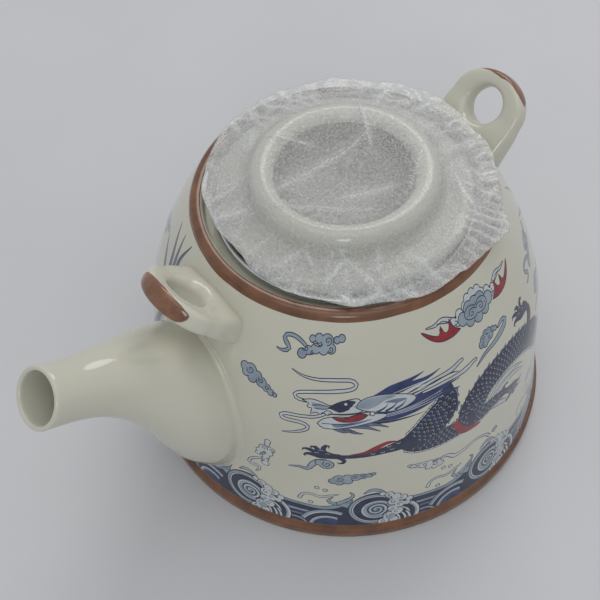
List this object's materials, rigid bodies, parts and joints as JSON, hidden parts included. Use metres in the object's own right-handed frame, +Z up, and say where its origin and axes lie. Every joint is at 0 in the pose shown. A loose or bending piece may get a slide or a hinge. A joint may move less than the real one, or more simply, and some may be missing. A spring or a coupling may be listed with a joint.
{
  "type": "teapot",
  "caption": "Wide-based porcelain teapot with a short upswept spout, ear lugs for a bail handle, a lift-out infuser and a flanged lid lying upside down in a film wrap.",
  "frame": {"origin": "middle of the bottom of the object's box, on the surface that the foot ring stands on; the pot's own axis is 22 mm towards +X from it", "axes": "+Z up along the pot's axis, -X along the spout, Y across the lugs"},
  "size_m": [0.1858, 0.14, 0.1066],
  "materials": {
    "porcelain": "glossy creamy white glaze over cobalt blue and iron red drawing, with copper brown glaze on lip, foot band and lug tips",
    "lid_porcelain": "glossy creamy white glaze",
    "stainless": "bright rolled stainless sheet, finely perforated",
    "film": "thin translucent white foam film, crinkled, with a soft sheen"
  },
  "bodies": {
    "pot": {"pot_body": "porcelain", "spout": "porcelain", "front_lug": "porcelain", "rear_lug": "porcelain"},
    "infuser": {"infuser_rim": "stainless", "infuser_wall": "stainless", "infuser_bottom": "stainless"},
    "lid": {"lid_shell": "lid_porcelain", "lid_knob": "lid_porcelain"},
    "wrap": {"lid_wrap": "film"}
  },
  "joints": [
    {"name": "infuser_lift", "type": "slide", "parent": "pot", "child": "infuser", "axis": [0, 0, 1], "range_m": [0, 0.06]},
    {"name": "lid_lift", "type": "slide", "parent": "infuser", "child": "lid", "axis": [0, 0, 1], "range_m": [0, 0.05]},
    {"name": "wrap_lift", "type": "slide", "parent": "lid", "child": "wrap", "axis": [0, 0, 1], "range_m": [0, 0.03]}
  ]
}
